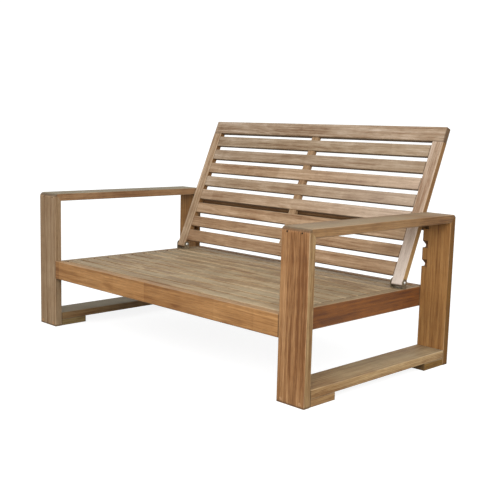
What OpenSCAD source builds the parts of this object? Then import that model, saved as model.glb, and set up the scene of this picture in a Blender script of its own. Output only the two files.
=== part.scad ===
// Garden loveseat frame in hardwood: two board side frames, a slatted platform seat
// and a slatted back that hinges at its foot and leans on a loose round support bar.
//
// X runs across the seat, +Y points to the rear and +Z up. The origin is on the ground,
// below the middle of the bounding box. Left is -X and right is +X, seen from the front.

/* [Side frames] */
// Overall width across the arms
width = 1500; // [1300:10:1900]
// Depth of the side frames, front to rear
frame_depth = 798; // [795:1:800]
// Height of the tops of the arms
arm_height = 555; // [545:1:620]
// Width of the boards in the side frames
board_w = 116; // [90:1:140]
// Thickness of the frame boards and seat rails
board_t = 30; // [28:1:32]
// Thickness of the feet below the bottom rails
foot_h = 26; // [20:1:45]
// Length of each foot, behind its post
foot_l = 120; // [80:5:200]
// Radius of the outer top corners of the side frames
corner_r = 20; // [8:1:24]
// Radius of the eased long edges of the boards
ease_r = 3; // [1:0.5:5]

/* [Seat] */
// Height of the seat's top
seat_h = 278; // [275:1:282]
// Height of the boards that rim the seat
rim_h = 75; // [60:1:110]
// Number of seat slats
seat_slats = 11; // [11:1:11]
// Open gap between seat slats
seat_gap = 12; // [8:0.5:14]
// Thickness of the seat slats
seat_slat_t = 20; // [16:1:24]
// Number of bearers below the seat slats
bearers = 2; // [1:1:3]

/* [Back] */
// Lean of the back from upright, in degrees
back_lean = 23; // [22:0.5:24]
// Length of the back from its hinge axis to its top
back_l = 611; // [608:1:613]
// Side gap between the back and the side frames
back_side_gap = 3; // [3:0.5:9]
// Width of the two outer stiles
stile_w = 48; // [44:1:52]
// Thickness of the two outer stiles
stile_t = 26; // [24:1:27]
// Height of the top rail
top_rail_h = 58; // [56:1:60]
// Thickness of the top rail
top_rail_t = 26; // [24:1:28]
// Number of back slats
back_slats = 8; // [6:1:8]
// Width of the back slats
back_slat_w = 47.2; // [46:0.1:48]
// Extra width of the lowest back slat
low_slat_extra = 5; // [0:1:6]
// Open gap between back slats
back_gap = 19.2; // [18:0.1:20]
// Gap between the top rail and the first slat
top_gap = 16.5; // [15:0.5:18]
// Thickness of the back slats
back_slat_t = 20; // [18:0.5:20]
// Width of the centre stile behind the slats
centre_stile_w = 35; // [30:1:45]

/* [Hinges and support bar] */
// Distance of the hinge axis behind the frame's front faces
hinge_y = 668; // [664:1:672]
// Height of the hinge axis above the seat
hinge_rise = 23; // [22:0.5:24]
// Diameter of the hinge bolts
hinge_bolt_d = 8; // [8:1:8]
// Diameter of the support bar
bar_d = 30; // [24:1:30]
// Diameter of the pins at the bar's ends
bar_pin_d = 12; // [12:1:14]
// Height of the lip of the top notch in the rear posts
notch_top = 494; // [490:1:497]
// Spacing of the notches
notch_pitch = 70; // [60:1:72]
// Number of notches in each rear post
notches = 3; // [1:1:3]
// Depth of the notches across the post
notch_w = 24; // [16:1:24]

/* [Hidden] */
$fn = 48;

left = -1;
right = 1;

// Side frames
inner_x = width / 2 - board_w;
rear_y = frame_depth - board_t;
arm_z = arm_height - board_t;

// Plugged screws at the feet of the posts and bare screws at their tops, as distances from
// the post's inner edge
plug_x = [19, 98];
plug_z = 12.5;
plug_d = 12.5;
plug_l = 8;
corner_screw_x = [23, 84];
corner_screw_z = arm_height - 16;
screw_head_d = 7;
screw_head_l = 3;
screw_sink = 3;
screw_d = 4.5;
screw_l = 60;

// Seat
rim_z = seat_h - rim_h;
seat_x = inner_x - board_t;
slat_z = seat_h - seat_slat_t;
slat_end_gap = 1;
seat_slat_w = (frame_depth - 2 * board_t - (seat_slats + 1) * seat_gap) / seat_slats;
seat_pitch = seat_slat_w + seat_gap;
cleat_w = 22;
cleat_h = 28;
bearer_w = 40;
dowel_d = 10;
dowel_l = 60;
dowel_z = [rim_z + 20, seat_h - 20];
bore_gap = 0.05;

// Back, in its own coordinates: u runs up the back from the hinge axis, w from front to rear
back_x = inner_x - back_side_gap;
stile_x = back_x - stile_w;
stile_front = -11;
stile_rear = stile_front + stile_t;
stile_foot = 14;
stile_foot_r = 8;
top_rail_u = back_l - top_rail_h;
back_pitch = back_slat_w + back_gap;
lap_w = 1;
centre_stile_front = 3 - back_slat_t / 2;
back_slat_rear = back_slat_t / 2;
low_slat_u = back_slat_u(back_slats);

// Hinges
hinge_z = seat_h + hinge_rise;
hinge_x = back_x - stile_w / 2;
plate_t = 3;
cheek_r = 13;
cheek_gap = 0.5;
cheek_in = stile_w / 2 + cheek_gap;
cheek_out = cheek_in + plate_t;
hinge_slat = floor((hinge_y - board_t - seat_gap) / seat_pitch) + 1;
hinge_screw_x = 13;
hinge_screw_d = 4;
hinge_screw_l = 16;
nut_w = 13;
nut_l = 6;
bolt_head_d = 13;
bolt_head_l = 4;

// The support bar touches the back's rear face, all but a small running gap
run_gap = 0.3;
bar_w = stile_rear + run_gap + bar_d / 2;
bar_z = notch_top + bar_pin_d / 2 + run_gap;
bar_u = (bar_z - hinge_z + bar_w * sin(back_lean)) / cos(back_lean);
bar_y = hinge_y + bar_u * sin(back_lean) + bar_w * cos(back_lean);
pocket_r = bar_pin_d / 2 + run_gap;
pocket_y = bar_y - rear_y;
notch_h = min(27, arm_z - notch_top - 1);

// The part's depth runs from the posts' front faces to the rear of the leaning top rail
top_r = 4;
rear_edge_u = back_l - top_r;
rear_edge_w = stile_front + top_rail_t - top_r;
rear_extent = hinge_y + rear_edge_u * sin(back_lean) + rear_edge_w * cos(back_lean) + top_r;
front_y = -rear_extent / 2;

seat_slat_nodes = [for (i = [1:seat_slats]) str("seat_slat_", i)];
back_slat_nodes = [for (i = [1:back_slats]) str("back_slat_", i)];
bearer_nodes = [for (i = [1:bearers]) str("seat_bearer_", i)];

// ---- Shapes that repeat ----

// A rectangle from the origin with rounded corners.
module rounded_rect(size, r = ease_r) {
    translate([r, 0])
        square([size.x - 2 * r, size.y]);
    translate([0, r])
        square([size.x, size.y - 2 * r]);
    for (x = [r, size.x - r], y = [r, size.y - r])
        translate([x, y])
            circle(r);
}

// Extrudes a side view, drawn as y and z, along x.
module along_x(l) {
    rotate([90, 0, 90])
        linear_extrude(l)
            children();
}

// Extrudes a front view, drawn as x and z, along y.
module along_y(l) {
    translate([0, l, 0])
        rotate([90, 0, 0])
            linear_extrude(l)
                children();
}

// A board with every edge eased.
module board(size, r = ease_r) {
    intersection() {
        linear_extrude(size.z)
            rounded_rect([size.x, size.y], r);
        along_y(size.y)
            rounded_rect([size.x, size.z], r);
        along_x(size.x)
            rounded_rect([size.y, size.z], r);
    }
}

// A domed screw or bolt head that stands on z = 0.
module domed_head(d, h) {
    rim = h / 3;
    intersection() {
        cylinder(d = d, h = h);
        translate([0, 0, h - dome_radius(d, h - rim)])
            sphere(dome_radius(d, h - rim));
    }
}

// Radius of the sphere whose cap is d wide and h high.
function dome_radius(d, h) = (d * d / 4 + h * h) / (2 * h);

// Children are drawn on the right, with y measured from the frame's front faces.
module on_side(side) {
    translate([0, front_y, 0])
        mirror([side == left ? 1 : 0, 0, 0])
            children();
}

module in_frame() {
    on_side(right)
        children();
}

// Children are drawn upright on the hinge axis, and lean with the back.
module in_back(side = right) {
    on_side(side)
        translate([0, hinge_y, hinge_z])
            rotate([-back_lean, 0, 0])
                children();
}

// ---- Side frames ----

// Side view of a whole side frame, with its outer top corners rounded.
module frame_outline() {
    square([frame_depth, arm_height - corner_r]);
    translate([corner_r, 0])
        square([frame_depth - 2 * corner_r, arm_height]);
    for (y = [corner_r, frame_depth - corner_r])
        translate([y, arm_height - corner_r])
            circle(corner_r);
}

// Side view of a post, mitred into the arm at its top.
module post_outline() {
    intersection() {
        polygon([[0, 0], [board_t, 0], [board_t, arm_z], [0, arm_height]]);
        frame_outline();
    }
}

// Side view of the arm, mitred at both ends.
module arm_outline() {
    intersection() {
        polygon([[0, arm_height], [board_t, arm_z], [rear_y, arm_z], [frame_depth, arm_height]]);
        frame_outline();
    }
}

// An upright board on the right side, with its front face at y = 0.
module post_blank() {
    translate([inner_x, 0, 0])
        intersection() {
            along_x(board_w)
                post_outline();
            linear_extrude(arm_height)
                rounded_rect([board_w, board_t]);
        }
}

// The bores for the plugged screws at the foot of a post.
module plug_bores() {
    for (x = plug_x)
        translate([inner_x + x, -1, plug_z])
            rotate([-90, 0, 0])
                cylinder(d = plug_d, h = plug_l + 1);
}

// The sunk screws that hold the front right corner's mitre.
module corner_screw_pair() {
    for (x = corner_screw_x)
        translate([inner_x + x, screw_sink, corner_screw_z])
            rotate([-90, 0, 0]) {
                cylinder(d = screw_head_d, h = screw_head_l);
                cylinder(d = screw_d, h = screw_l);
            }
}

// The stepped bores that those screws sit in, open at the post's front face.
module corner_screw_bores() {
    for (x = corner_screw_x)
        translate([inner_x + x, -1, corner_screw_z])
            rotate([-90, 0, 0]) {
                cylinder(d = screw_head_d + 2 * bore_gap, h = screw_sink + screw_head_l + 1);
                cylinder(d = screw_d + 2 * bore_gap, h = screw_sink + screw_l + 2);
            }
}

// The same features at the rear, turned to face the rear.
module at_rear() {
    translate([0, frame_depth, 0])
        mirror([0, 1, 0])
            children();
}

module front_post(side) {
    color("tan")
        on_side(side)
            difference() {
                post_blank();
                plug_bores();
                corner_screw_bores();
                dowel_pair(bore_gap);
            }
}

// Side view of a notch, from the post's front face inwards: a flat lip, a round pocket for
// the pin and a ramp that guides the pin down into it.
module notch_outline() {
    mouth = [-pocket_y, notch_h - pocket_r];
    turn = atan2(mouth.y, mouth.x) - acos(pocket_r / norm(mouth));
    ramp_start = [pocket_y + pocket_r * cos(turn), pocket_r + pocket_r * sin(turn)];
    polygon([[0, 0], [pocket_y, 0], ramp_start, [0, notch_h]]);
    translate([-1, 0])
        square([1.1, notch_h]);
    translate([pocket_y, pocket_r])
        circle(pocket_r);
}

module rear_post(side) {
    color("sienna")
        on_side(side)
            difference() {
                at_rear()
                    post_blank();
                at_rear()
                    plug_bores();
                at_rear()
                    corner_screw_bores();
                at_rear()
                    dowel_pair(bore_gap);
                for (i = [0:notches - 1])
                    translate([inner_x - 1, rear_y, notch_top - i * notch_pitch])
                        along_x(notch_w + 1)
                            notch_outline();
            }
}

module arm(side) {
    color("burlywood")
        on_side(side)
            difference() {
                translate([inner_x, 0, 0])
                    intersection() {
                        along_x(board_w)
                            arm_outline();
                        translate([0, 0, arm_z])
                            along_y(frame_depth)
                                rounded_rect([board_w, board_t]);
                    }
                corner_screw_bores();
                at_rear()
                    corner_screw_bores();
            }
}

module bottom_rail(side) {
    color("peru")
        on_side(side)
            translate([inner_x, board_t, foot_h])
                along_y(rear_y - board_t)
                    rounded_rect([board_w, board_t]);
}

module foot() {
    translate([inner_x, board_t, 0])
        board([board_w, foot_l, foot_h]);
}

module front_foot(side) {
    color("peru")
        on_side(side)
            foot();
}

module rear_foot(side) {
    color("peru")
        on_side(side)
            at_rear()
                foot();
}

module plug_pair() {
    for (x = plug_x)
        translate([inner_x + x, 0, plug_z])
            rotate([-90, 0, 0])
                cylinder(d = plug_d - 2 * bore_gap, h = plug_l);
}

module foot_plugs() {
    color("saddlebrown")
        for (side = [left, right])
            on_side(side) {
                plug_pair();
                at_rear()
                    plug_pair();
            }
}

module corner_screws() {
    color("dimgray")
        for (side = [left, right])
            on_side(side) {
                corner_screw_pair();
                at_rear()
                    corner_screw_pair();
            }
}

// ---- Seat ----

// The dowels that join an apron's right end to the front post, or their bores.
module dowel_pair(gap = 0) {
    for (z = dowel_z)
        translate([inner_x - dowel_l / 2 - gap, board_t / 2, z])
            rotate([0, 90, 0])
                cylinder(d = dowel_d + 2 * gap, h = dowel_l + 2 * gap);
}

// A board between the posts that closes the seat's front.
module apron() {
    difference() {
        translate([-inner_x, 0, rim_z])
            along_x(2 * inner_x)
                rounded_rect([board_t, rim_h]);
        for (side = [0, 1])
            mirror([side, 0, 0])
                dowel_pair(bore_gap);
    }
}

module front_apron() {
    color("peru")
        in_frame()
            apron();
}

module rear_apron() {
    color("peru")
        in_frame()
            at_rear()
                apron();
}

module frame_dowels() {
    color("wheat")
        for (side = [left, right])
            on_side(side) {
                dowel_pair();
                at_rear()
                    dowel_pair();
            }
}

module side_rail(side) {
    color("sienna")
        on_side(side)
            difference() {
                translate([seat_x, board_t, rim_z])
                    along_y(rear_y - board_t)
                        rounded_rect([board_t, rim_h]);
                hinge_screw_pair(bore_gap);
            }
}

// The strip on a side rail's inner face that carries the ends of the seat slats.
module slat_cleat(side) {
    color("peru")
        on_side(side)
            translate([seat_x - cleat_w, board_t, slat_z - cleat_h])
                cube([cleat_w, rear_y - board_t, cleat_h]);
}

function seat_slat_y(i) = board_t + seat_gap + (i - 1) * seat_pitch;

module seat_slat(i) {
    l = seat_x - slat_end_gap;
    color("burlywood")
        in_frame()
            difference() {
                translate([-l, seat_slat_y(i), slat_z])
                    board([2 * l, seat_slat_w, seat_slat_t]);
                if (i == hinge_slat)
                    for (side = [0, 1])
                        mirror([side, 0, 0])
                            hinge_screw_pair(bore_gap);
            }
}

// Bearers run front to rear below the slats and share the width evenly.
module seat_bearer(i) {
    x = -seat_x + i * 2 * seat_x / (bearers + 1);
    color("peru")
        in_frame()
            translate([x - bearer_w / 2, board_t, rim_z])
                cube([bearer_w, rear_y - board_t, slat_z - rim_z]);
}

// ---- Back ----

module back_top_rail() {
    color("tan")
        in_back()
            translate([-back_x, stile_front, top_rail_u])
                board([2 * back_x, top_rail_t, top_rail_h], top_r);
}

// Side view of an outer stile, with a rounded foot that reaches just below the hinge axis.
module stile_outline() {
    translate([stile_front, stile_foot_r - stile_foot])
        square([stile_t, top_rail_u + stile_foot - stile_foot_r]);
    translate([stile_front + stile_foot_r, -stile_foot])
        square([stile_t - 2 * stile_foot_r, stile_foot_r]);
    for (w = [stile_front + stile_foot_r, stile_rear - stile_foot_r])
        translate([w, stile_foot_r - stile_foot])
            circle(stile_foot_r);
}

module back_stile(side) {
    color("tan")
        in_back(side)
            difference() {
                translate([stile_x, 0, 0])
                    intersection() {
                        along_x(stile_w)
                            stile_outline();
                        translate([0, stile_front, -stile_foot])
                            linear_extrude(stile_foot + top_rail_u)
                                rounded_rect([stile_w, stile_t]);
                    }
                translate([stile_x - 1, 0, 0])
                    rotate([0, 90, 0])
                        cylinder(d = hinge_bolt_d + 2 * bore_gap, h = stile_w + 2);
            }
}

// Width of a back slat and the height of its lower edge, counted from the top.
function back_slat_width(i) = back_slat_w + (i == back_slats ? low_slat_extra : 0);
function back_slat_u(i) = top_rail_u - top_gap - back_slat_width(i) - (i - 1) * back_pitch;

// The stile behind the middle of the slats, halved into every slat.
module back_centre_stile() {
    color("tan")
        in_back()
            difference() {
                translate([-centre_stile_w / 2, centre_stile_front, low_slat_u])
                    cube([centre_stile_w, back_slat_rear - centre_stile_front,
                          top_rail_u - low_slat_u]);
                for (i = [1:back_slats])
                    translate([-centre_stile_w, centre_stile_front - 1, back_slat_u(i)])
                        cube([2 * centre_stile_w, lap_w - centre_stile_front + 1, back_slat_width(i)]);
            }
}

// A slat between the outer stiles, counted from the top.
module back_slat(i) {
    color("tan")
        in_back()
            difference() {
                translate([-stile_x, -back_slat_t / 2, back_slat_u(i)])
                    along_x(2 * stile_x)
                        rounded_rect([back_slat_t, back_slat_width(i)]);
                translate([-centre_stile_w / 2, lap_w, back_slat_u(i) - 1])
                    cube([centre_stile_w, back_slat_t, back_slat_width(i) + 2]);
            }
}

// ---- Hinges and support bar ----

// One cheek of a hinge bracket, bored for the bolt.
module cheek() {
    difference() {
        along_x(plate_t) {
            circle(cheek_r);
            translate([-cheek_r, -hinge_rise])
                square([2 * cheek_r, hinge_rise]);
        }
        translate([-1, 0, 0])
            rotate([0, 90, 0])
                cylinder(d = hinge_bolt_d + 2 * bore_gap, h = plate_t + 2);
    }
}

// The screws that hold the right bracket's base to its seat slat and to the side rail, or
// their bores.
module hinge_screw_pair(gap = 0) {
    for (x = [-hinge_screw_x, hinge_screw_x])
        translate([hinge_x + x, hinge_y, seat_h + plate_t - hinge_screw_l])
            cylinder(d = hinge_screw_d + 2 * gap, h = hinge_screw_l + 2 * gap);
}

// A folded plate with a cheek on either side of the stile's foot.
module hinge_bracket(side) {
    color("silver")
        on_side(side)
            difference() {
                translate([hinge_x, hinge_y, hinge_z]) {
                    for (x = [-cheek_out, cheek_in])
                        translate([x, 0, 0])
                            cheek();
                    translate([-cheek_out, -cheek_r, -hinge_rise])
                        cube([2 * cheek_out, 2 * cheek_r, plate_t]);
                }
                hinge_screw_pair(bore_gap);
            }
}

// Both bolts point the same way, with the head at +X.
module hinge_bolt(side) {
    color("gainsboro")
        in_frame()
            translate([side * hinge_x, hinge_y, hinge_z])
                rotate([0, 90, 0]) {
                    translate([0, 0, -cheek_out - nut_l - 1])
                        cylinder(d = hinge_bolt_d, h = 2 * cheek_out + nut_l + 1);
                    translate([0, 0, cheek_out])
                        domed_head(bolt_head_d, bolt_head_l);
                }
}

module hinge_nuts() {
    color("silver")
        in_frame()
            for (side = [left, right])
                translate([side * hinge_x - cheek_out - nut_l, hinge_y, hinge_z])
                    rotate([0, 90, 0])
                        difference() {
                            cylinder(d = nut_w / cos(30), h = nut_l, $fn = 6);
                            translate([0, 0, -1])
                                cylinder(d = hinge_bolt_d + 2 * bore_gap, h = nut_l + 2);
                        }
}

module hinge_screws() {
    color("silver")
        for (side = [left, right])
            on_side(side) {
                hinge_screw_pair();
                for (x = [-hinge_screw_x, hinge_screw_x])
                    translate([hinge_x + x, hinge_y, seat_h + plate_t])
                        domed_head(2 * hinge_screw_d, hinge_screw_d / 2);
            }
}

// A loose round bar behind the back, with a turned pin at each end that sits in a notch.
module support_bar() {
    bar_l = 2 * inner_x - 2;
    pin_l = 2 * (inner_x + notch_w) - 3;
    color("saddlebrown")
        in_frame()
            translate([0, bar_y, bar_z])
                rotate([0, 90, 0]) {
                    cylinder(d = bar_d, h = bar_l, center = true);
                    cylinder(d = bar_pin_d, h = pin_l, center = true);
                }
}

front_post(left);  // front_post_left
front_post(right);  // front_post_right
rear_post(left);  // rear_post_left
rear_post(right);  // rear_post_right
arm(left);  // arm_left
arm(right);  // arm_right
bottom_rail(left);  // bottom_rail_left
bottom_rail(right);  // bottom_rail_right
front_foot(left);  // front_foot_left
front_foot(right);  // front_foot_right
rear_foot(left);  // rear_foot_left
rear_foot(right);  // rear_foot_right
foot_plugs();
corner_screws();
front_apron();
rear_apron();
frame_dowels();
side_rail(left);  // side_rail_left
side_rail(right);  // side_rail_right
slat_cleat(left);  // slat_cleat_left
slat_cleat(right);  // slat_cleat_right
for (i = [1:seat_slats]) seat_slat(i);
for (i = [1:bearers]) seat_bearer(i);
back_top_rail();
back_stile(left);  // back_stile_left
back_stile(right);  // back_stile_right
back_centre_stile();
for (i = [1:back_slats]) back_slat(i);
hinge_bracket(left);  // hinge_bracket_left
hinge_bracket(right);  // hinge_bracket_right
hinge_bolt(left);  // hinge_bolt_left
hinge_bolt(right);  // hinge_bolt_right
hinge_nuts();
hinge_screws();
support_bar();
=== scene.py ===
"""Looks for the garden loveseat frame: teak boards, steel hinges, studio floor, light and camera."""

import math

import bpy
from mathutils import Matrix, Vector


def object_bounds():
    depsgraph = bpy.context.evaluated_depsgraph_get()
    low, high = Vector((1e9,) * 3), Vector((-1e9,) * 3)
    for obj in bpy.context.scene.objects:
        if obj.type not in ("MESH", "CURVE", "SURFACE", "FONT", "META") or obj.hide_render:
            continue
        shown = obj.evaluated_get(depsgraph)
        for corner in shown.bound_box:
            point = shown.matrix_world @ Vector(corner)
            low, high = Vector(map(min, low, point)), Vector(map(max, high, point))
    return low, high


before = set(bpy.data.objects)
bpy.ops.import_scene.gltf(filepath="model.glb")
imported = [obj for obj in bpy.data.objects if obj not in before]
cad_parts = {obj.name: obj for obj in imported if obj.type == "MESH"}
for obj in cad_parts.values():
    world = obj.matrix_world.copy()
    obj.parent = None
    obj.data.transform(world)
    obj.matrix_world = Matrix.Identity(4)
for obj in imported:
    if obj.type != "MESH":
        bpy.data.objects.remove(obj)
CAD_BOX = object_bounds()

# Lean of the back from upright, as in the CAD
LEAN = math.radians(23)
ALL_NODES = sorted(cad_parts)
BACK_NODES = {n for n in ALL_NODES if n.startswith("back_")}


# ---- Node helpers ----


def add(tree, kind, **settings):
    """Adds a shader node and sets its properties."""
    node = tree.nodes.new(kind)
    for name, value in settings.items():
        setattr(node, name, value)
    return node


def feed(tree, socket, value):
    """Links a value into a socket when it is an output, and otherwise sets it."""
    if isinstance(value, bpy.types.NodeSocket):
        tree.links.new(value, socket)
    else:
        socket.default_value = value


def maths(tree, operation, a, b=0.0, clamp=False):
    node = add(tree, "ShaderNodeMath", operation=operation, use_clamp=clamp)
    feed(tree, node.inputs[0], a)
    feed(tree, node.inputs[1], b)
    return node.outputs[0]


def times(tree, a, b, clamp=False):
    return maths(tree, "MULTIPLY", a, b, clamp)


def plus(tree, a, b, clamp=False):
    return maths(tree, "ADD", a, b, clamp)


def minus(tree, a, b):
    return maths(tree, "SUBTRACT", a, b)


def vector_maths(tree, operation, a, b=(0, 0, 0)):
    node = add(tree, "ShaderNodeVectorMath", operation=operation)
    feed(tree, node.inputs[0], a)
    feed(tree, node.inputs[1], b)
    return node.outputs[0]


def split(tree, vector):
    """The x, y and z of a vector."""
    node = add(tree, "ShaderNodeSeparateXYZ")
    feed(tree, node.inputs[0], vector)
    return node.outputs


def smooth(tree, value, low, high, out_low=0.0, out_high=1.0):
    """A smooth step from one output to the other, as the value goes from low to high."""
    node = add(tree, "ShaderNodeMapRange", interpolation_type="SMOOTHSTEP")
    feed(tree, node.inputs["Value"], value)
    feed(tree, node.inputs["From Min"], low)
    feed(tree, node.inputs["From Max"], high)
    feed(tree, node.inputs["To Min"], out_low)
    feed(tree, node.inputs["To Max"], out_high)
    return node.outputs["Result"]


def noise(tree, vector, stretch, detail=2.0, roughness=0.5):
    """Noise with its own scale along, across and through the board, in features per metre."""
    node = add(tree, "ShaderNodeTexNoise", noise_dimensions="3D")
    feed(tree, node.inputs["Vector"], vector_maths(tree, "MULTIPLY", vector, stretch))
    node.inputs["Scale"].default_value = 1.0
    node.inputs["Detail"].default_value = detail
    node.inputs["Roughness"].default_value = roughness
    return node.outputs["Fac"]


def mix(tree, factor, a, b, blend="MIX"):
    """Mixes two colours. The mix node's colour sockets are its seventh and eighth inputs."""
    node = add(tree, "ShaderNodeMix", data_type="RGBA", blend_type=blend)
    feed(tree, node.inputs["Factor"], factor)
    feed(tree, node.inputs[6], a)
    feed(tree, node.inputs[7], b)
    return node.outputs[2]


def bumped(tree, height, strength, distance):
    """The surface normal over a relief of the given height."""
    node = add(tree, "ShaderNodeBump")
    node.inputs["Strength"].default_value = strength
    node.inputs["Distance"].default_value = distance
    feed(tree, node.inputs["Height"], height)
    return node.outputs["Normal"]


def new_material(name):
    """A material with its node tree, its main shader and the piece's own coordinates."""
    material = bpy.data.materials.new(name)
    material.use_nodes = True
    tree = material.node_tree
    place = add(tree, "ShaderNodeTexCoord").outputs["Object"]
    return material, tree, tree.nodes["Principled BSDF"], place


# ---- Teak ----

TEAK_INPUTS = (
    ("Vector", "NodeSocketVector"),
    ("Half Size", "NodeSocketVector"),
    ("Seed", "NodeSocketFloat"),
    ("Color", "NodeSocketColor"),
    ("Weathering", "NodeSocketFloat"),
    ("Blocks", "NodeSocketFloat"),
    ("Contrast", "NodeSocketFloat"),
    ("Painted Side Shading", "NodeSocketColor"),
    ("Painted Light End", "NodeSocketFloat"),
    ("Seam", "NodeSocketFloat"),
)
TEAK_OUTPUTS = (
    ("Color", "NodeSocketColor"),
    ("Roughness", "NodeSocketFloat"),
    ("Normal", "NodeSocketVector"),
)
# Noise in the wood: features per metre along, across and through the board, detail and roughness
PATTERNS = {
    "wander": ((1.1, 2.0, 2.0), 2.0, 0.50),
    "ripple": ((5.0, 26.0, 26.0), 2.0, 0.50),
    "bands": ((1.1, 26.0, 26.0), 2.0, 0.50),
    "streaks": ((4.0, 120.0, 120.0), 4.0, 0.65),
    "fibres": ((22.0, 420.0, 420.0), 3.0, 0.60),
    "pores": ((38.0, 1500.0, 1500.0), 1.0, 0.50),
    "blotch": ((3.5, 7.0, 7.0), 2.0, 0.50),
    "figure": ((22.0, 3.0, 3.0), 1.0, 0.50),
}
# How strongly each of them lightens or darkens a board
TONE_WEIGHTS = (("bands", 1.0), ("streaks", 1.7), ("fibres", 1.0), ("blotch", 0.7), ("figure", 0.3))
RING_WEIGHT = -0.20
MIDDLE_TONE = 0.56
# What a board's colour is multiplied by, from its darkest tone to its palest
TONES = (
    (0.00, (0.50, 0.38, 0.28, 1)),
    (0.35, (0.80, 0.74, 0.67, 1)),
    (0.65, (1.05, 1.05, 1.05, 1)),
    (1.00, (1.35, 1.45, 1.62, 1)),
)
# Metres along, across and through the wood from one board's stretch of it to the next one's
SEED_STEP = (3.17, 1.31, 2.23)
RINGS_PER_METRE = 190.0
BLOCKS_PER_METRE = 5.3
PORE = (0.10, 0.055, 0.025, 1)
SHADED = (0.09, 0.05, 0.022, 1)
PAINTED_LIGHT_PALE = (0.78, 0.67, 0.59, 1)
SILVERED = (0.285, 0.248, 0.165, 1)
RUB_AND_HIGHLIGHT = (0.52, 0.40, 0.27, 1)
END_DARK = (0.085, 0.052, 0.028, 1)
USUAL_SEAM = 0.0035


def wood_patterns(group, board):
    """Every noise pattern, in a stretch of wood of the board's own."""
    shift = add(group, "ShaderNodeCombineXYZ")
    for socket, step in zip(shift.inputs, SEED_STEP):
        feed(group, socket, times(group, board["Seed"], step))
    grain = vector_maths(group, "ADD", board["Vector"], shift.outputs[0])
    return {name: noise(group, grain, *settings) for name, settings in PATTERNS.items()}


def growth_rings(group, board, patterns):
    """Circles about a pith that wanders slowly beside the board. The distances are in metres."""
    sway = 0.16
    nearest = 0.055
    drift = 0.05
    waviness = 0.006
    place = split(group, board["Vector"])
    pith_y = times(group, minus(group, patterns["wander"], 0.5), sway)
    pith_z = plus(group, nearest, times(group, patterns["wander"], drift))
    y = minus(group, place[1], pith_y)
    z = plus(group, place[2], pith_z)
    radius = maths(group, "SQRT", plus(group, times(group, y, y), times(group, z, z)))
    radius = plus(group, radius, times(group, patterns["ripple"], waviness))
    phase = maths(group, "FRACT", times(group, radius, RINGS_PER_METRE))
    return times(group, smooth(group, phase, 0.0, 0.62), smooth(group, phase, 0.8, 1.0, 1.0, 0.0))


def block_tones(group, board):
    """Short lengths joined end to end, each a little lighter or darker than the next."""
    along = split(group, board["Vector"])[0]
    run = times(group, plus(group, along, times(group, board["Seed"], 0.37)), BLOCKS_PER_METRE)
    cell = plus(group, maths(group, "FLOOR", run), times(group, board["Seed"], 7.7))
    block = add(group, "ShaderNodeTexWhiteNoise", noise_dimensions="1D")
    feed(group, block.inputs["W"], cell)
    return times(group, minus(group, block.outputs["Value"], 0.5), board["Blocks"])


def fresh_colour(group, board, patterns, rings):
    """The board's colour under its rings, streaks and blocks, and paler towards one end as painted
    light.
    """
    tone = times(group, rings, RING_WEIGHT)
    for name, weight in TONE_WEIGHTS:
        tone = plus(group, tone, times(group, minus(group, patterns[name], 0.5), weight))
    tone = times(group, tone, board["Contrast"])
    tone = plus(group, plus(group, tone, block_tones(group, board)), MIDDLE_TONE, clamp=True)
    ramp = add(group, "ShaderNodeValToRGB")
    stops = ramp.color_ramp.elements
    ramp.color_ramp.interpolation = "EASE"
    while len(stops) < len(TONES):
        stops.new(0.5)
    for stop, (spot, colour) in zip(stops, TONES):
        stop.position = spot
        stop.color = colour
    feed(group, ramp.inputs[0], tone)
    colour = mix(group, 1.0, board["Color"], ramp.outputs[0], blend="MULTIPLY")
    along = split(group, board["Vector"])[0]
    half_length = split(group, board["Half Size"])[0]
    # painted light: the board is mixed towards a pale colour towards one end
    painted_light_mask = times(group, maths(group, "DIVIDE", along, half_length), board["Painted Light End"], clamp=True)
    return mix(group, painted_light_mask, colour, PAINTED_LIGHT_PALE)


def painted_face_shading(group, board, normal, colour):
    """Painted shading: the faces at the side are made lighter or darker as painted light and shade, and
    the undersides are darkened as painted shade.
    """
    # painted light and shade: side faces are multiplied by their own lighter or darker factor
    side_shading_mask = smooth(group, maths(group, "ABSOLUTE", normal[0]), 0.6, 0.95)
    side_shaded = mix(group, 1.0, colour, board["Painted Side Shading"], blend="MULTIPLY")
    colour = mix(group, side_shading_mask, colour, side_shaded)
    # painted shade: faces that point down are darkened towards the SHADED colour
    underside_shade_mask = smooth(group, normal[2], -0.9, -0.4, 0.5, 0.0)
    return mix(group, underside_shade_mask, colour, SHADED)


def silvering(group, board, patterns, normal):
    """Upward faces silver first, and in patches."""
    patches = plus(group, patterns["blotch"], times(group, patterns["streaks"], 0.35))
    patches = smooth(group, patches, 0.40, 0.85)
    upward = smooth(group, normal[2], 0.3, 0.95, 0.22, 1.0)
    silver = times(group, upward, board["Weathering"])
    return times(group, silver, plus(group, 0.45, times(group, patches, 0.9)), clamp=True)


def edge_colour(group, board, patterns, colour):
    """Eased edges are made paler, partly as wear and partly as a painted highlight, and the ends near a
    joint are darker within a band.
    """
    inward = vector_maths(group, "ABSOLUTE", board["Vector"])
    gap = split(group, vector_maths(group, "SUBTRACT", board["Half Size"], inward))
    reach = plus(group, 0.0015, times(group, patterns["blotch"], 0.006))
    beside = smooth(group, gap[1], 0.0, reach, 1.0, 0.0)
    through = smooth(group, gap[2], 0.0, reach, 1.0, 0.0)
    wear_and_highlight_mask = times(group, beside, through)
    wear_and_highlight_mask = times(group, wear_and_highlight_mask, smooth(group, patterns["ripple"], 0.30, 0.62))
    # pale eased edges: partly wear, partly a painted highlight
    colour = mix(group, times(group, wear_and_highlight_mask, 0.35), colour, RUB_AND_HIGHLIGHT)
    seam = board["Seam"]
    # darker within a band at the board's ends
    end_dark_mask = smooth(group, gap[0], times(group, seam, 0.6), seam, 0.60, 0.0)
    return mix(group, end_dark_mask, colour, END_DARK)


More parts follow.
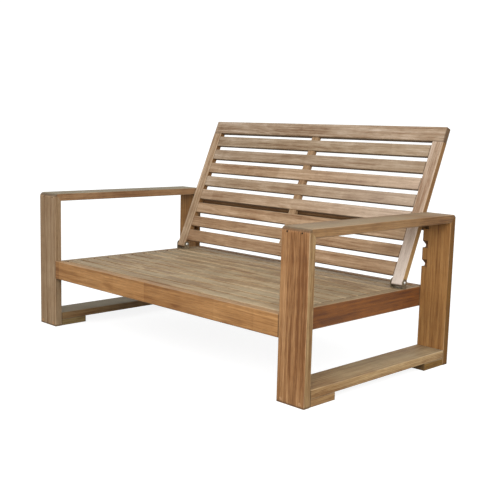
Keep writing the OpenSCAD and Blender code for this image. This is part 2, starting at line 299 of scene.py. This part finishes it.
def teak_group():
    """One node group for every board. Its vector runs x along, y across and z through the board."""
    group = bpy.data.node_groups.new("teak", "ShaderNodeTree")
    for name, kind in TEAK_INPUTS:
        group.interface.new_socket(name, in_out="INPUT", socket_type=kind)
    for name, kind in TEAK_OUTPUTS:
        group.interface.new_socket(name, in_out="OUTPUT", socket_type=kind)
    board = add(group, "NodeGroupInput").outputs
    normal = split(group, add(group, "ShaderNodeTexCoord").outputs["Normal"])
    patterns = wood_patterns(group, board)
    rings = growth_rings(group, board, patterns)
    pores = smooth(group, patterns["pores"], 0.30, 0.44, 0.45, 0.0)
    silver = silvering(group, board, patterns, normal)

    colour = fresh_colour(group, board, patterns, rings)
    colour = mix(group, pores, colour, PORE)
    colour = painted_face_shading(group, board, normal, colour)
    colour = mix(group, silver, colour, SILVERED)
    colour = edge_colour(group, board, patterns, colour)

    rough = plus(group, 0.50, times(group, patterns["fibres"], 0.22))
    rough = plus(group, rough, times(group, silver, 0.10), clamp=True)
    height = plus(group, times(group, patterns["fibres"], 0.9), times(group, rings, -0.5))
    height = minus(group, height, times(group, pores, 1.4))

    target = add(group, "NodeGroupOutput")
    feed(group, target.inputs["Color"], colour)
    feed(group, target.inputs["Roughness"], rough)
    feed(group, target.inputs["Normal"], bumped(group, height, 0.55, 0.0004))
    return group


def board_frame(name):
    """The board's centre, half size and rotation: x along it, y across its face, z through it."""
    turn = Matrix.Rotation(-LEAN, 3, "X") if name in BACK_NODES else Matrix.Identity(3)
    points = [turn.transposed() @ v.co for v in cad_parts[name].data.vertices]
    low = Vector(min(p[i] for p in points) for i in range(3))
    high = Vector(max(p[i] for p in points) for i in range(3))
    order = sorted(range(3), key=lambda i: low[i] - high[i])
    axes = [Vector(1.0 if k == i else 0.0 for k in range(3)) for i in order]
    axes[2] = axes[0].cross(axes[1])
    half = Vector((high[i] - low[i]) / 2 for i in order)
    basis = Matrix(axes).transposed()
    return turn @ ((low + high) / 2), half, (turn @ basis).to_euler("XYZ")


def starts_with(table, name, default):
    """The value beside the first entry in the table that the name starts with."""
    return next((value for start, value in table if name.startswith(start)), default)


def wood(name, colour, seed, weathering, blocks, contrast):
    """A teak material laid along one board."""
    centre, half, rotation = board_frame(name)
    material, tree, shader, place = new_material("wood_" + name)
    shader.inputs["Specular IOR Level"].default_value = 0.28
    mapping = add(tree, "ShaderNodeMapping", vector_type="TEXTURE")
    mapping.inputs["Location"].default_value = centre
    mapping.inputs["Rotation"].default_value = rotation
    feed(tree, mapping.inputs["Vector"], place)
    teak = add(tree, "ShaderNodeGroup", node_tree=TEAK)
    feed(tree, teak.inputs["Vector"], mapping.outputs["Vector"])
    settings = {
        "Half Size": half,
        "Seed": seed,
        "Color": (*colour, 1),
        "Weathering": weathering,
        "Blocks": blocks,
        "Contrast": contrast,
        "Painted Side Shading": (*starts_with(PAINTED_SIDE_SHADING, name, (1, 1, 1)), 1),
        "Painted Light End": starts_with(PAINTED_LIGHT_ENDS, name, 0.0),
        "Seam": starts_with(SEAMS, name, USUAL_SEAM),
    }
    for socket, value in settings.items():
        teak.inputs[socket].default_value = value
    feed(tree, shader.inputs["Base Color"], teak.outputs["Color"])
    feed(tree, shader.inputs["Roughness"], teak.outputs["Roughness"])
    feed(tree, shader.inputs["Normal"], teak.outputs["Normal"])
    return material


# ---- Metal and plugs ----


def metal(name, colour, roughness, brush):
    """Steel with fine scratches and a few dull spots. The brush is the scratches per metre each way."""
    material, tree, shader, place = new_material(name)
    shader.inputs["Metallic"].default_value = 1.0
    scratches = noise(tree, place, brush, detail=3.0, roughness=0.7)
    spots = noise(tree, place, (160.0, 160.0, 160.0))
    dull = smooth(tree, spots, 0.50, 0.68)
    darker = tuple(0.55 * c for c in colour)
    rough = plus(tree, roughness, times(tree, scratches, 0.25))
    feed(tree, shader.inputs["Base Color"], mix(tree, dull, (*colour, 1), (*darker, 1)))
    feed(tree, shader.inputs["Roughness"], plus(tree, rough, times(tree, dull, 0.15)))
    feed(tree, shader.inputs["Normal"], bumped(tree, scratches, 0.3, 0.0001))
    return material


def end_grain(name, colour):
    """End grain of a plug or dowel, with rings and dark pores."""
    material, tree, shader, place = new_material(name)
    rings = noise(tree, place, (120.0, 120.0, 420.0))
    pores = noise(tree, place, (1400.0, 1400.0, 1400.0), detail=1.0)
    pale = tuple(1.35 * c for c in colour)
    tone = mix(tree, smooth(tree, rings, 0.35, 0.65), (*colour, 1), (*pale, 1))
    tone = mix(tree, smooth(tree, pores, 0.30, 0.45, 0.6, 0.0), tone, (0.05, 0.03, 0.015, 1))
    feed(tree, shader.inputs["Base Color"], tone)
    feed(tree, shader.inputs["Roughness"], plus(tree, 0.6, times(tree, pores, 0.2)))
    feed(tree, shader.inputs["Normal"], bumped(tree, pores, 0.4, 0.0003))
    return material


def dress(name, material):
    """Gives a CAD node one material."""
    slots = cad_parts[name].data.materials
    slots.clear()
    slots.append(material)


TEAK = teak_group()

# Colour, weathering, joined blocks and contrast of each kind of board, by how its name starts
LOOKS = (
    ("front_post_right", (0.388, 0.194, 0.077), 0.15, 0.00, 1.15),
    ("front_post_left", (0.398, 0.261, 0.149), 0.30, 0.00, 0.90),
    ("rear_post", (0.357, 0.175, 0.054), 0.15, 0.00, 0.85),
    ("arm_right", (0.315, 0.160, 0.065), 0.45, 0.00, 1.10),
    ("arm_left", (0.205, 0.132, 0.060), 0.60, 0.00, 1.00),
    ("bottom_rail_right", (0.450, 0.288, 0.138), 0.40, 0.00, 1.10),
    # bottom_rail_left is darker partly for its own tone and partly as painted shade from the seat above
    # it
    ("bottom_rail_left", (0.169, 0.108, 0.041), 0.50, 0.00, 1.00),
    ("front_foot_right", (0.330, 0.192, 0.077), 0.30, 0.00, 1.00),
    ("front_foot_left", (0.205, 0.134, 0.047), 0.30, 0.00, 1.00),
    ("rear_foot", (0.200, 0.098, 0.008), 0.30, 0.00, 1.00),
    ("front_apron", (0.442, 0.212, 0.070), 0.30, 0.34, 0.90),
    ("rear_apron", (0.360, 0.180, 0.070), 0.30, 0.34, 0.85),
    ("side_rail", (0.400, 0.255, 0.125), 0.35, 0.10, 1.40),
    ("slat_cleat", (0.280, 0.160, 0.070), 0.30, 0.00, 1.00),
    ("seat_bearer", (0.280, 0.160, 0.070), 0.30, 0.00, 1.00),
    ("seat_slat", (0.492, 0.338, 0.184), 0.40, 0.34, 1.30),
    ("back_top_rail", (0.452, 0.332, 0.235), 0.30, 0.12, 1.00),
    # back_stile_right is paler partly for its own tone and partly as painted light from the open right
    # side
    ("back_stile_right", (0.560, 0.420, 0.320), 0.30, 0.00, 0.90),
    ("back_stile_left", (0.512, 0.360, 0.232), 0.30, 0.00, 1.00),
    ("back_centre_stile", (0.360, 0.215, 0.110), 0.30, 0.00, 0.90),
    ("back_slat_1", (0.405, 0.295, 0.198), 0.30, 0.20, 0.90),
    ("back_slat_2", (0.402, 0.292, 0.200), 0.30, 0.20, 0.90),
    ("back_slat_3", (0.464, 0.312, 0.195), 0.30, 0.20, 0.90),
    ("back_slat_4", (0.411, 0.290, 0.190), 0.30, 0.20, 0.90),
    ("back_slat_5", (0.487, 0.338, 0.222), 0.30, 0.20, 0.90),
    ("back_slat", (0.434, 0.272, 0.154), 0.30, 0.26, 1.00),
    # support_bar is dark partly for its own wood and partly as painted shade, for the shade behind the
    # back slats
    ("support_bar", (0.230, 0.125, 0.053), 0.10, 0.00, 0.80),
)
# How the faces at the side differ from the front ones, where they do: painted light and shade, lighter
# or darker by how the light falls on each side
PAINTED_SIDE_SHADING = (
    ("front_post_right", (0.88, 1.13, 1.30)),
    ("front_post_left", (0.75, 0.76, 0.75)),
    ("rear_post", (0.44, 0.37, 0.10)),
    ("arm_right", (0.73, 0.71, 0.59)),
    ("arm_left", (1.58, 1.33, 1.33)),
    ("bottom_rail_right", (0.92, 0.93, 0.90)),
    ("bottom_rail_left", (1.54, 1.39, 1.40)),
    ("side_rail", (0.41, 0.176, 0.024)),
    ("back_stile", (0.55, 0.385, 0.17)),
    ("back_top_rail", (0.62, 0.48, 0.31)),
)
# How far a board is painted paler, as painted light, from its middle towards its right or upper end, or
# the other end if negative
PAINTED_LIGHT_ENDS = (
    ("back_stile_right", -0.95),
    ("back_slat_3", 0.24),
    ("back_slat_4", 0.22),
    ("back_slat_5", 0.30),
)
# Width in metres of the darker band at a board's ends, where it isn't the usual one
SEAMS = (
    ("front_post", 0.0070),
    ("rear_post", 0.0070),
    ("arm", 0.0070),
)


def dress_boards():
    """Every board takes the first look in the table that its name starts with."""
    for seed, name in enumerate(ALL_NODES):
        for start, colour, *rest in LOOKS:
            if name.startswith(start):
                dress(name, wood(name, colour, 1.0 + seed, *rest))
                break


def dress_fittings():
    """Bright bolts, aged brackets, nuts and screws, dark corner screws and wooden plugs."""
    stainless = metal("stainless_steel", (0.72, 0.72, 0.69), 0.25, (900.0, 120.0, 900.0))
    aged = metal("aged_steel", (0.30, 0.24, 0.16), 0.50, (500.0, 500.0, 120.0))
    tarnished = metal("tarnished_steel", (0.06, 0.05, 0.045), 0.50, (500.0, 500.0, 500.0))
    plug = end_grain("plug_wood", (0.400, 0.215, 0.100))
    for name in ALL_NODES:
        if name.startswith("hinge_"):
            dress(name, stainless if "bolt" in name else aged)
    dress("corner_screws", tarnished)
    dress("foot_plugs", plug)
    dress("frame_dowels", plug)


dress_boards()
dress_fittings()


# ---- Floor, light and camera ----


def stage_sheet(name, mesh, material):
    """A sheet of the studio, which isn't part of the object."""
    obj = bpy.data.objects.new(name, mesh)
    bpy.context.collection.objects.link(obj)
    mesh.materials.append(material)
    return obj


def paint(name, grey, glow):
    """Matt studio paint, faintly uneven, that glows a little to keep the shadows soft."""
    material, tree, shader, place = new_material(name)
    shader.inputs["Roughness"].default_value = 0.9
    shader.inputs["Specular IOR Level"].default_value = 0.0
    shader.inputs["Emission Color"].default_value = (1, 1, 1, 1)
    shader.inputs["Emission Strength"].default_value = glow
    patches = noise(tree, place, (3.0, 3.0, 3.0), detail=3.0)
    paler = tuple(1.02 * c for c in grey)
    feed(tree, shader.inputs["Base Color"], mix(tree, patches, (*grey, 1), (*paler, 1)))
    return material


def floor():
    """A white floor that curves up into a white wall all round. Only the camera sees it.

    The radius of its flat middle, the radius of its bend and the height of its wall are in metres.
    """
    flat = 9.0
    curve = 3.0
    wall = 12.0
    steps = 64
    bends = [math.radians(15 * k) for k in range(1, 7)]
    profile = [(flat, 0.0)]
    profile += [(flat + curve * math.sin(a), curve - curve * math.cos(a)) for a in bends]
    profile.append((flat + curve, wall))
    turns = [2 * math.pi * k / steps for k in range(steps)]
    points = [(r * math.cos(t), r * math.sin(t), z) for r, z in profile for t in turns]
    faces = [tuple(range(steps))]
    for ring in range(len(profile) - 1):
        for k in range(steps):
            a = ring * steps + k
            b = ring * steps + (k + 1) % steps
            faces.append((a, b, b + steps, a + steps))
    mesh = bpy.data.meshes.new("floor")
    mesh.from_pydata(points, [], faces)
    sheet = stage_sheet("floor", mesh, paint("floor_paint", (0.32, 0.32, 0.32), 0.86))
    sheet.visible_diffuse = False
    sheet.visible_glossy = False
    sheet.visible_shadow = False


def ground():
    """The greyer ground below the floor, which lights the undersides but isn't seen."""
    half = 12.0
    depth = -0.01
    corners = [(x, y, depth) for x, y in ((-half, -half), (half, -half), (half, half), (-half, half))]
    mesh = bpy.data.meshes.new("ground")
    mesh.from_pydata(corners, [], [(0, 1, 2, 3)])
    sheet = stage_sheet("ground", mesh, paint("ground_paint", (0.30, 0.29, 0.27), 0.0))
    sheet.visible_camera = False


def area_light(name, place, target, size, power, colour):
    """A round soft light of the given size in metres and power in watts, aimed at the target."""
    data = bpy.data.lights.new(name, "AREA")
    data.shape = "DISK"
    data.size = size
    data.energy = power
    data.color = colour
    obj = bpy.data.objects.new(name, data)
    obj.location = place
    obj.rotation_euler = (Vector(target) - Vector(place)).to_track_quat("-Z", "Y").to_euler()
    bpy.context.collection.objects.link(obj)


def studio():
    """A bright even sky, a key light at the front right and a weaker one at the right."""
    world = bpy.data.worlds.new("studio")
    world.use_nodes = True
    background = world.node_tree.nodes["Background"]
    background.inputs["Color"].default_value = (0.98, 1.0, 1.02, 1)
    background.inputs["Strength"].default_value = 0.88
    scene = bpy.context.scene
    scene.world = world
    scene.view_settings.view_transform = "Standard"
    middle = (0.2, 0.0, 0.35)
    area_light("key", (3.0, -3.1, 2.4), middle, 3.0, 110.0, (1.0, 0.985, 0.96))
    area_light("side", (4.2, -0.9, 1.2), middle, 2.4, 38.0, (1.0, 0.99, 0.97))


def camera():
    """A camera at the front right, level with the back's top rail and looking a little down.

    It stands to the right of the object's middle, before its front and above the ground, in metres.
    """
    to_right = 2.3886
    before_front = 1.88995
    above_ground = 0.8537
    data = bpy.data.cameras.new("camera")
    data.sensor_width = 36.0
    data.lens = 61.3
    azimuth = math.radians(-44.96)
    pitch = math.radians(8.33)
    roll = math.radians(1.52)
    level = math.cos(pitch)
    ahead = Vector((math.sin(azimuth) * level, math.cos(azimuth) * level, -math.sin(pitch)))
    side = Vector((math.cos(azimuth), -math.sin(azimuth), 0.0))
    above = side.cross(ahead)
    right = math.cos(roll) * side + math.sin(roll) * above
    up = math.cos(roll) * above - math.sin(roll) * side
    view = Matrix((right, up, -ahead)).transposed().to_4x4()
    front = CAD_BOX[0][1]
    view.translation = Vector((to_right, front - before_front, above_ground))
    obj = bpy.data.objects.new("camera", data)
    obj.matrix_world = view
    bpy.context.collection.objects.link(obj)
    bpy.context.scene.camera = obj


floor()
ground()
studio()
camera()
